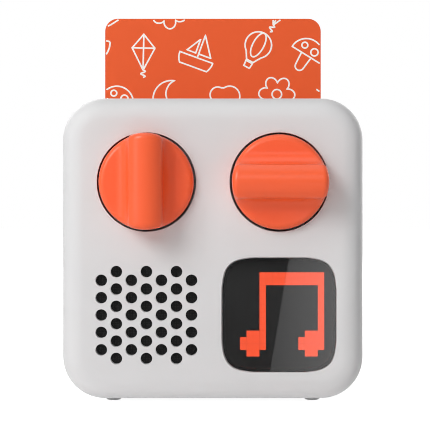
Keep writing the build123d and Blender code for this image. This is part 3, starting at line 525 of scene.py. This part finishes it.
@dataclass
class StoryCard(SubAssembly):
    """The card with drawings on both faces, the sleeve that it slides in and the coil that reads it."""

    # a printed PVC card is matt and perfectly even, with a faint wave from the lamination
    card: MouldedPlastic = MouldedPlastic("orange printed PVC", "#ED5F2D", "#EA5C2B", 0.5, grain_mm=0.6,
                                          grain_depth_mm=0.002, specular=0.22)
    # opaque white ink stands a hair above the card and catches light along its lines
    ink: MouldedPlastic = MouldedPlastic("white card ink", "#FFFDF8", "#F8F6F0", 0.5, grain_mm=0.4,
                                         grain_depth_mm=0.001, specular=0.22)
    line_mm: float = 0.42
    step_mm: float = 0.19
    ink_mm: float = 0.02
    # a drawn line's section: across in half widths, up in films of ink. It is domed, so where lines
    # cross one of them lies clear of the other, and it is bedded a little into the card
    ink_section: tuple[tuple[float, float], ...] = (
        (1.0, -0.25), (0.0, -0.25), (-1.0, -0.25), (-0.7, 0.75), (0.0, 1.0), (0.7, 0.75))
    # the section's two halves, by the numbers of its points, as a line's first end shows them
    section_halves: tuple[tuple[int, ...], ...] = ((5, 4, 1, 0), (4, 3, 2, 1))
    # the least cosine of half a bend that widens the line: past it, a corner's outer point is cut short
    sharpest: float = 0.55
    motif_mm: float = 4.6
    column_mm: float = 13.4
    row_mm: float = 11.4
    wander_mm: float = 1.1
    turn_deg: float = 38.0
    corner_mm: float = 3.18
    seed: int = 11

    def finishes(self) -> dict[str, Finish]:
        """The card in orange, all that holds it in black, and its coil as a bare board."""
        return {"story_card": self.card, "card_sleeve": BLACK_ABS, "reader_antenna": BOARD}

    def placed_strokes(self, width: float, height: float) -> Strokes:
        """Scatters the motifs over a sheet, row by row, each turned and shifted a little.

        The rows stand like bricks, and they run past the sheet's edges, so the print is cut all round.

        Args:
            width: the sheet's width in millimetres.
            height: the sheet's height in millimetres.

        Returns:
            Every stroke in millimetres from the sheet's centre.
        """
        chance = np.random.default_rng(self.seed)
        motifs = list(Motif)
        placed = []
        rows = int(height / self.row_mm) + 2
        columns = int(width / self.column_mm) + 2
        for row in range(rows):
            shift = self.column_mm / 4 if row % 2 else -self.column_mm / 4
            for column in range(columns):
                spot = np.array([(column - (columns - 1) / 2) * self.column_mm + shift,
                                 ((rows - 1) / 2 - row) * self.row_mm])
                spot += chance.uniform(-self.wander_mm, self.wander_mm, 2)
                turn = np.radians(chance.uniform(-self.turn_deg, self.turn_deg))
                spin = np.array([[np.cos(turn), np.sin(turn)], [-np.sin(turn), np.cos(turn)]])
                # three drawings on from the one above, so that no two of a kind are neighbours
                motif = motifs[(3 * row + column) % len(motifs)]
                placed += [stroke @ spin * self.motif_mm + spot for stroke in motif.strokes()]
        return placed

    def cut_to_card(self, stroke: Points, width: float, height: float) -> Strokes:
        """Keeps the runs of a stroke whose line lies wholly on the card's rounded sheet.

        The sheet is all that lies within a corner radius of a smaller one with square corners, and the
        middle of a line stays half a line's width inside it.

        Args:
            stroke: the stroke's points in millimetres from the card's centre.
            width: the card's width.
            height: the card's height.

        Returns:
            The runs that stay, each of three points or more.
        """
        fine = resampled(stroke, self.step_mm)
        core = np.array([width, height]) / 2 - self.corner_mm
        over = np.maximum(np.abs(fine) - core, 0.0)
        inside = np.hypot(over[:, 0], over[:, 1]) <= self.corner_mm - self.line_mm / 2
        breaks = np.flatnonzero(np.diff(inside.astype(int))) + 1
        return [part for part, kept in zip(np.split(fine, breaks), np.split(inside, breaks))
                if kept[0] and len(part) > 2]

    def additions(self, workshop: Workshop) -> list[bpy.types.Object]:
        """Makes the print as thin ribbons on the card's front and back.

        Args:
            workshop: where the ink comes from.

        Returns:
            The print, riding on the card.
        """
        low, high = (np.array(corner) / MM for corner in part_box("story_card"))
        width, _, height = high - low
        centre = (low + high) / 2
        parts = []
        for face, face_y in ((CardFace.FRONT, low[1]), (CardFace.BACK, high[1])):
            # drawn as seen from outside, so on the back they run from right to left
            for stroke in self.placed_strokes(width, height):
                for line in self.cut_to_card(stroke, width, height):
                    across_face = np.stack([-face.value * line[:, 0], line[:, 1]], axis=1)
                    parts.append(self.ribbon(across_face, centre, face_y, face))
        vertices, faces = stacked(parts)
        ink = put_mesh("card_print", vertices * MM, faces)
        workshop.dress(ink, self.ink)
        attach(ink, "story_card")
        return [ink]

    def ribbon(self, path: Points, centre: Points, face_y: float,
               face: CardFace) -> tuple[Points, Points]:
        """The section of a line of ink carried along a path.

        At a bend the section stands on the bisector, d1 + d2 for the runs d1 and d2 that meet there,
        and is widened by 1 / cos(half the bend), so the line keeps its width. A path that ends within a
        tenth of a step of its start closes on itself. The ends of any other are capped by two faces, on
        the two sides of its ridge.

        Args:
            path: points across the face in millimetres from its centre.
            centre: the card's centre in millimetres.
            face_y: where the card's face is.
            face: which face it is.

        Returns:
            Vertices in millimetres, and faces.
        """
        runs = np.diff(path, axis=0)
        runs /= np.linalg.norm(runs, axis=1, keepdims=True)
        closed = bool(np.hypot(*(path[0] - path[-1])) < self.step_mm / 10)
        before = np.concatenate([runs[-1:] if closed else runs[:1], runs])
        after = np.concatenate([runs, runs[:1] if closed else runs[-1:]])
        cosine = np.linalg.norm(before + after, axis=1, keepdims=True) / 2
        along = (before + after) / (2 * cosine)
        reach = self.line_mm / 2 / np.maximum(cosine, self.sharpest)
        across = np.stack([-along[:, 1], along[:, 0]], axis=1) * reach
        side, rise = np.array(self.ink_section).T
        stations = len(path) - 1 if closed else len(path)
        flat = path[:stations, None] + across[:stations, None] * side[:, None]
        places = np.empty((stations, len(side), 3))
        places[..., 0] = flat[..., 0] + centre[0]
        places[..., 1] = face_y + face.value * self.ink_mm * rise
        places[..., 2] = flat[..., 1] + centre[2]
        corner = np.arange(len(side))
        beside = np.roll(corner, -1)
        here = np.arange(stations if closed else stations - 1)[:, None] * len(side)
        there = (here + len(side)) % (stations * len(side))
        walls = np.stack([here + corner, here + beside, there + beside, there + corner], axis=2)
        faces = [walls.reshape(-1, 4)]
        if not closed:
            first_end = np.array(self.section_halves)
            last_end = first_end[:, ::-1] + (stations - 1) * len(side)
            faces += [first_end, last_end]
        faces = np.concatenate(faces)
        return places.reshape(-1, 3), faces if face is CardFace.BACK else faces[:, ::-1]


def resampled(stroke: Points, spacing: float, same_point: float = 1e-6, fewest: int = 3) -> Points:
    """Respaces a stroke's points evenly, by linear interpolation of x and y on the length travelled.

    Args:
        stroke: N by 2 points in millimetres.
        spacing: about how far apart the new points are.
        same_point: points nearer than this to the one before are left out.
        fewest: the least number of new points.

    Returns:
        The new points, the first and last where they were.
    """
    steps = np.hypot(*np.diff(stroke, axis=0).T)
    stroke = stroke[np.concatenate([[True], steps > same_point])]
    travelled = np.concatenate([[0.0], np.cumsum(np.hypot(*np.diff(stroke, axis=0).T))])
    marks = np.linspace(0, travelled[-1], max(fewest, int(travelled[-1] / spacing)))
    return np.stack([np.interp(marks, travelled, along) for along in stroke.T], axis=1)


# ---------------------------------------------------------------- the display
@dataclass
class Display(SubAssembly):
    """The smoked window, the film and cells behind it, and a pair of joined music notes in lit cells."""

    window: SmokedAcrylic = SmokedAcrylic()
    # the film takes the glare off the cells: dark grey, quite matt, with no texture of its own
    film: MouldedPlastic = MouldedPlastic("smoked diffusing film", "#262626", "#242424", 0.7,
                                          grain_depth_mm=0.0002, specular=0.25)
    lit: LitPixel = LitPixel()
    pitch_mm: float = 1.5
    cell_mm: float = 1.47
    glow_mm: float = 0.08
    picture: tuple[str, ...] = (
        "....##########",
        "....##########",
        "....#........#",
        "....#........#",
        "....#........#",
        "....#........#",
        "....#........#",
        "....#........#",
        "....#........#",
        "..###......###",
        ".####.....####",
        ".####.....####",
        "..##.......##.",
    )

    def finishes(self) -> dict[str, Finish]:
        """Clear and dark in front, black cells behind, on a green board with plated screws."""
        return {"display_window": self.window, "display_diffuser": self.film, "pixel_baffle": BLACK_ABS,
                "display_gasket": BLACK_FOAM, "led_board": BOARD, "display_screws": ZINC_SCREW}

    def additions(self, workshop: Workshop) -> list[bpy.types.Object]:
        """Makes one thin plate for each lit cell, just in front of the film.

        The cells are the grid points of the picture's marks, and each plate is a box whose corners are
        the cell's centre plus or minus half its size.

        Args:
            workshop: where the finish comes from.

        Returns:
            The lit cells, riding on the housing.
        """
        low, high = (np.array(corner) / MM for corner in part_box("display_diffuser"))
        centre = (low + high) / 2
        marks = np.array([[mark == "#" for mark in row] for row in self.picture])
        rows, columns = np.nonzero(marks)
        x = centre[0] + (columns - (marks.shape[1] - 1) / 2) * self.pitch_mm
        z = centre[2] - (rows - (marks.shape[0] - 1) / 2) * self.pitch_mm
        middles = np.stack([x, np.full_like(x, low[1] - self.glow_mm / 2), z], axis=1)
        reach = np.array([self.cell_mm, self.glow_mm, self.cell_mm]) / 2
        vertices = (middles[:, None] + BOX_CORNERS * reach).reshape(-1, 3)
        firsts = len(BOX_CORNERS) * np.arange(len(middles))
        faces = (BOX_FACES + firsts[:, None, None]).reshape(-1, 4)
        cells = put_mesh("lit_pixels", vertices * MM, faces)
        workshop.dress(cells, self.lit)
        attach(cells, "housing")
        return [cells]


# ---------------------------------------------------------------- the other sub-assemblies
@dataclass
class Housing(SubAssembly):
    """The two pale shells, the four long screws that close them, and the feet under them."""

    # moulded in a finely eroded tool: pale, dry and even, with soft highlights along its rounded edges
    shell: MouldedPlastic = MouldedPlastic("pale ABS, spark-eroded", "#DEDDDE", "#DADADA", 0.55)
    # pressed rubber is paler than the shell, dull all over, and takes no highlight
    rubber: MouldedPlastic = MouldedPlastic("pale foot rubber", "#F2F2F2", "#EEEEEE", 0.72, grain_mm=0.3,
                                            grain_depth_mm=0.01)

    def finishes(self) -> dict[str, Finish]:
        """One plastic with their joint line for both shells, plate on the screws, rubber on the feet."""
        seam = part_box("front_housing")[1][1] / MM
        shell = replace(self.shell, seam_mm=float(seam))
        return {"front_housing": shell, "rear_cover": shell, "cover_screws": ZINC_SCREW,
                "feet": self.rubber}


@dataclass
class Knobs(SubAssembly):
    """The two press-and-turn knobs and the encoders that they are pushed onto."""

    # saturated orange in the mass, satin from a fine tool: the grip's crest takes a soft highlight
    knob: MouldedPlastic = MouldedPlastic("orange ABS, satin", "#FF6536", "#FD6234", 0.3, grain_mm=0.25,
                                          grain_depth_mm=0.0006, specular=0.34)
    # fine rings from the lathe run round the shaft, so its highlight spreads along it
    shaft: PlatedMetal = PlatedMetal("turned aluminium", "#C8C8CA", 0.3, (4.0, 0.15, 4.0))

    def finishes(self) -> dict[str, Finish]:
        """The knob, and the five pieces of its encoder, for each side."""
        found = {}
        for side in ("left", "right"):
            found |= {f"knob_{side}": self.knob, f"encoder_{side}_shaft": self.shaft,
                      f"encoder_{side}_bushing": NICKEL_SHEET, f"encoder_{side}_nut": NICKEL_SHEET,
                      f"encoder_{side}_body": BLACK_ABS, f"encoder_{side}_plunger": BLACK_ABS}
        return found


@dataclass
class Loudspeaker(SubAssembly):
    """The cloth behind the grille, the drive unit and the chamber that it is clamped in."""

    cloth: WovenCloth = WovenCloth()
    # pressed paper with a damping coat: black, matt and faintly fibrous
    paper: MouldedPlastic = MouldedPlastic("coated cone paper", "#1E1E1E", "#171717", 0.8, grain_mm=0.5,
                                           grain_depth_mm=0.03)
    # a sintered ring under dark plate: greyer than the basket, with grinding marks
    magnet: PlatedMetal = PlatedMetal("plated magnet", "#9A9CA0", 0.3, (0.4, 2.0, 0.4))

    def finishes(self) -> dict[str, Finish]:
        """Dark cloth and paper in a plated basket, in a black chamber."""
        return {"grille_mesh": self.cloth, "speaker_gasket": BLACK_FOAM, "speaker_cone": self.paper,
                "speaker_dust_cap": self.paper, "speaker_basket": NICKEL_SHEET,
                "speaker_magnet": self.magnet, "speaker_chamber": BLACK_ABS,
                "chamber_screws": ZINC_SCREW}


@dataclass
class Electronics(SubAssembly):
    """The main board, the can over its radio, and the battery on its foam pad."""

    # aluminium foil laminate drawn over the cell: bright and softly dimpled
    pouch: PlatedMetal = PlatedMetal("foil battery pouch", "#C4C6C9", 0.42, (3.0, 3.0, 3.0),
                                     streak_depth_mm=0.05)

    def finishes(self) -> dict[str, Finish]:
        """A green board with plated parts, and a foil cell on black foam."""
        return {"main_board": BOARD, "shield_can": NICKEL_SHEET, "board_screws": ZINC_SCREW,
                "battery": self.pouch, "battery_pad": BLACK_FOAM}


@dataclass
class Ports(SubAssembly):
    """The charging inlet, the headphone socket and the power button in the right side wall."""

    # the same tool finish as the shells, a touch smoother from fingers
    button: MouldedPlastic = MouldedPlastic("pale ABS, button", "#DEDDDE", "#DADADA", 0.45)

    def finishes(self) -> dict[str, Finish]:
        """A plated inlet with a black tongue, a black socket, and a pale cap on a black switch."""
        return {"usb_c_shell": NICKEL_SHEET, "usb_c_tongue": BLACK_ABS, "headphone_jack": BLACK_ABS,
                "power_button": self.button, "power_switch": BLACK_ABS,
                "power_switch_plunger": BLACK_ABS}


# ---------------------------------------------------------------- the studio
def put_lamp(name: str, size: tuple[float, float], power: float, place: Points,
             turn: tuple[float, float, float]) -> bpy.types.Object:
    """Puts a flat lamp into the scene, which shines along its own -Z.

    Args:
        name: the lamp's name.
        size: its width and height in metres.
        power: its power in watts.
        place: where its middle is, in metres.
        turn: its turn about X, Y and Z in radians.

    Returns:
        The lamp.
    """
    data = bpy.data.lights.new(name, "AREA")
    data.shape = "RECTANGLE"
    data.size, data.size_y = (float(side) for side in size)
    data.energy = float(power)
    lamp = bpy.data.objects.new(name, data)
    lamp.location = place
    lamp.rotation_euler = turn
    bpy.context.scene.collection.objects.link(lamp)
    return lamp


@dataclass(frozen=True)
class SoftLamp:
    """A square soft lamp on an arm, turned towards the player's middle. Its sizes are in metres."""

    name: str
    left_deg: float
    rise_deg: float
    size: float
    level: float
    arm: float = 1.0
    aim_height: float = 0.036

    def hang(self) -> None:
        """Hangs the lamp.

        Its place is aim + arm * (-sin a cos e, -cos a cos e, sin e), where a is the angle to the left of
        the front and e the angle above the table. Its power is level * (pi * arm)^2, so that a matt
        surface that faces a lamp of level one shows its colour as written.
        """
        a, e = np.radians(self.left_deg), np.radians(self.rise_deg)
        out = np.array([-np.sin(a) * np.cos(e), -np.cos(a) * np.cos(e), np.sin(e)])
        place = out * self.arm + np.array([0.0, 0.0, self.aim_height])
        put_lamp(self.name, (self.size, self.size), self.level * (np.pi * self.arm) ** 2, place,
                 (np.pi / 2 - e, 0.0, -a))


@dataclass
class Studio:
    """A white table under a dim sky, with soft lamps round it.

    The largest lamp hangs at the upper left. Two lamps lie close to the player: one for the light that
    the table throws up at it, and one whose reflection shows on its window.
    """

    # the camera: to the right of the player's middle, above the table, and in front of its flat face
    camera_right_mm: float = 0.51
    camera_rise_mm: float = 43.76
    camera_distance_mm: float = 338.0
    front_face_mm: float = -16.25
    lens_mm: float = 122.9
    sensor_mm: float = 36.0
    nearest_mm: float = 10.0
    pixel_blur: float = 1.0
    # the sky and the table: what they send as light, and what the camera and mirrors see of them.
    # The table's sizes are in metres
    sky: float = 0.05
    floor_reach: float = 4.0
    table_colour: str = "#FBFBFB"
    floor_lift: float = 0.8
    floor_sheen: float = 0.25
    # round the player the table keeps its shadow, and past white_reach it is plain white
    shadow_reach: float = 0.12
    white_reach: float = 0.48
    # each lamp's angle to the left of the front and above the table, its size and its level
    lamps: tuple[SoftLamp, ...] = (
        SoftLamp("key_lamp", 41.0, 31.0, 0.5, 0.61),
        SoftLamp("front_lamp", 0.0, 24.0, 0.3, 0.07),
        SoftLamp("low_lamp", 50.0, 8.0, 0.3, 0.06),
        SoftLamp("top_lamp", 0.0, 76.0, 0.7, 0.2),
        SoftLamp("rear_lamp_left", 155.0, 30.0, 0.6, 0.3),
        SoftLamp("rear_lamp_right", 216.0, 16.0, 0.6, 0.3),
    )
    # the light from the table: its level, how far it reaches past the player, and its height
    table_light: float = 0.105
    table_light_margin_mm: float = 6.0
    table_light_rise_mm: float = 0.1
    # the window's lamp: how far it stands from the face, the middle (x, z) of its left edge and how far
    # that leans to the right, its width and height, its spread, and its level at the left and right edge
    sheen_distance_mm: float = 46.0
    sheen_edge_mm: tuple[float, float] = (17.85, 20.35)
    sheen_lean_deg: float = 9.58
    sheen_lamp_mm: tuple[float, float] = (24.0, 46.0)
    sheen_spread_deg: float = 40.0
    sheen_levels: tuple[float, float] = (2.8, 8.5)

    def build_camera(self) -> None:
        """Sets a level camera that looks along +Y at the front, a little above the player's middle."""
        data = bpy.data.cameras.new("camera")
        data.lens = self.lens_mm
        data.sensor_width = self.sensor_mm
        data.clip_start = self.nearest_mm * MM
        camera = bpy.data.objects.new("camera", data)
        camera_y = self.front_face_mm - self.camera_distance_mm
        camera.location = (self.camera_right_mm * MM, camera_y * MM, self.camera_rise_mm * MM)
        camera.rotation_euler = (np.pi / 2, 0.0, 0.0)
        bpy.context.scene.collection.objects.link(camera)
        bpy.context.scene.camera = camera

    def shown_to(self, tree: bpy.types.NodeTree, eye: float, mirrors: float,
                 lit: float) -> bpy.types.NodeSocket:
        """Gives a level that depends on which rays ask, so what is seen as white lights nothing more.

        Args:
            tree: the node tree that needs the level.
            eye: the level for camera rays.
            mirrors: the level for rays that metal and glass reflect or let through.
            lit: the level for all other rays.

        Returns:
            A socket with the level.
        """
        path = add_node(tree, "LightPath").outputs
        bent = add_node(tree, "Math", {0: path["Is Glossy Ray"], 1: path["Is Transmission Ray"]},
                        operation="MAXIMUM")
        inner = add_node(tree, "MapRange", {
            "Value": bent.outputs["Value"], "To Min": lit, "To Max": mirrors})
        outer = add_node(tree, "MapRange", {
            "Value": path["Is Camera Ray"], "To Min": inner.outputs["Result"], "To Max": eye})
        return outer.outputs["Result"]

    def build_sky(self) -> None:
        """Lights the scene evenly from all round, and shows as plain white."""
        world = bpy.data.worlds.new("sky")
        bpy.context.scene.world = world
        world.use_nodes = True
        tree = world.node_tree
        tree.nodes.clear()
        strength = self.shown_to(tree, eye=1.0, mirrors=1.0, lit=self.sky)
        light = add_node(tree, "Background", {"Color": WHITE, "Strength": strength})
        add_node(tree, "OutputWorld", {"Surface": light.outputs["Background"]})

    def build_floor(self) -> None:
        """Lays the white table, lifted to white for the camera except where the player shades it.

        The lift is floor_lift times a factor that grows with the distance from the player, from 1 at
        shadow_reach to 1 / floor_lift at white_reach.
        """
        r = self.floor_reach
        corners = np.array([[-r, -r, 0], [r, -r, 0], [r, r, 0], [-r, r, 0]], float)
        floor = put_mesh("floor", corners, np.array([[0, 1, 2, 3]]))
        material, tree = blank_material("white table")
        matt = add_node(tree, "BsdfDiffuse", {"Color": linear(self.table_colour)})
        place = add_node(tree, "TexCoord").outputs["Object"]
        away = add_node(tree, "VectorMath", {0: place}, operation="LENGTH")
        whiter = add_node(tree, "MapRange", {
            "Value": away.outputs["Value"], "From Min": self.shadow_reach, "From Max": self.white_reach,
            "To Min": 1.0, "To Max": 1.0 / self.floor_lift})
        seen = self.shown_to(tree, eye=self.floor_lift, mirrors=self.floor_sheen, lit=0.0)
        lift = add_node(tree, "Math", {0: seen, 1: whiter.outputs["Result"]}, operation="MULTIPLY")
        glow = add_node(tree, "Emission", {"Color": WHITE, "Strength": lift.outputs["Value"]})
        both = add_node(tree, "AddShader", {0: matt.outputs["BSDF"], 1: glow.outputs["Emission"]})
        close_material(tree, both.outputs["Shader"])
        floor.data.materials.append(material)

    def build_table_light(self) -> None:
        """Lets a dim sheet of light into the table under the player, as the bounce of a lit white table.

        It reaches a little past the player's foot on every side, shines straight up and stays out of
        sight. Its power is pi * level * area, which gives the sheet that level's brightness.
        """
        low, high = np.array(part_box("front_housing")[0]), np.array(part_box("rear_cover")[1])
        width, depth = (high - low)[:2] + 2 * self.table_light_margin_mm * MM
        place = np.array([*(low + high)[:2] / 2, self.table_light_rise_mm * MM])
        lamp = put_lamp("table_light", (width, depth), self.table_light * np.pi * width * depth, place,
                        (np.pi, 0.0, 0.0))
        lamp.visible_camera = False

    def build_window_lamp(self) -> None:
        """Stands a small gridded lamp low in front, which only reflections see, for the window's sheen.

        The lamp is a sheet parallel to the front. It is turned about Y, so that its left edge ends in
        the window along a slanted line, and its glow grows away from that edge. A grid keeps its light
        within a narrow spread, so the slopes of the knobs don't show it. Seen head on, a lamp of level
        one is as bright as white paper: its power is pi * area * (tan h - h) / tan h, where h is half
        the spread.
        """
        width, height = np.array(self.sheen_lamp_mm) * MM
        lean, half = np.radians(self.sheen_lean_deg), np.radians(self.sheen_spread_deg) / 2
        edge = np.array([self.sheen_edge_mm[0], self.front_face_mm - self.sheen_distance_mm,
                         self.sheen_edge_mm[1]]) * MM
        middle = edge + width / 2 * np.array([np.cos(lean), 0.0, -np.sin(lean)])
        lamp = put_lamp("window_lamp", (width, height),
                        np.pi * width * height * (np.tan(half) - half) / np.tan(half), middle,
                        (np.pi / 2, lean, 0.0))
        lamp.data.spread = float(2 * half)
        lamp.data.use_nodes = True
        tree = lamp.data.node_tree
        tree.nodes.clear()
        sheet = add_node(tree, "NewGeometry").outputs["Parametric"]
        across = add_node(tree, "SeparateXYZ", {"Vector": sheet}).outputs["X"]
        left, right = self.sheen_levels
        level = add_node(tree, "MapRange", {"Value": across, "To Min": left, "To Max": right})
        glow = add_node(tree, "Emission", {"Color": WHITE, "Strength": level.outputs["Result"]})
        add_node(tree, "OutputLight", {"Surface": glow.outputs["Emission"]})
        lamp.visible_camera = False
        lamp.visible_diffuse = False
        lamp.visible_transmission = False

    def build(self) -> None:
        """Sets up the camera, the sky, the table and the lamps."""
        scene = bpy.context.scene
        scene.view_settings.view_transform = "Standard"
        scene.cycles.filter_width = self.pixel_blur
        self.build_camera()
        self.build_sky()
        self.build_floor()
        self.build_table_light()
        self.build_window_lamp()
        for lamp in self.lamps:
            lamp.hang()


def main() -> None:
    """Dresses the player's own nodes, adds its print and picture, and sets up the studio."""
    logging.basicConfig(level=logging.INFO, format="%(message)s")
    Studio().build()
    workshop = Workshop()
    for part in (Housing(), Knobs(), StoryCard(), Display(), Loudspeaker(), Electronics(), Ports()):
        part.build(workshop)
    dressed = set(workshop.made.values())
    bare = [name for name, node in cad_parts.items() if node.data.materials[0] not in dressed]
    LOG.info("nodes left in their first colour: %s", bare or "none")


if __name__ == "__main__":
    main()
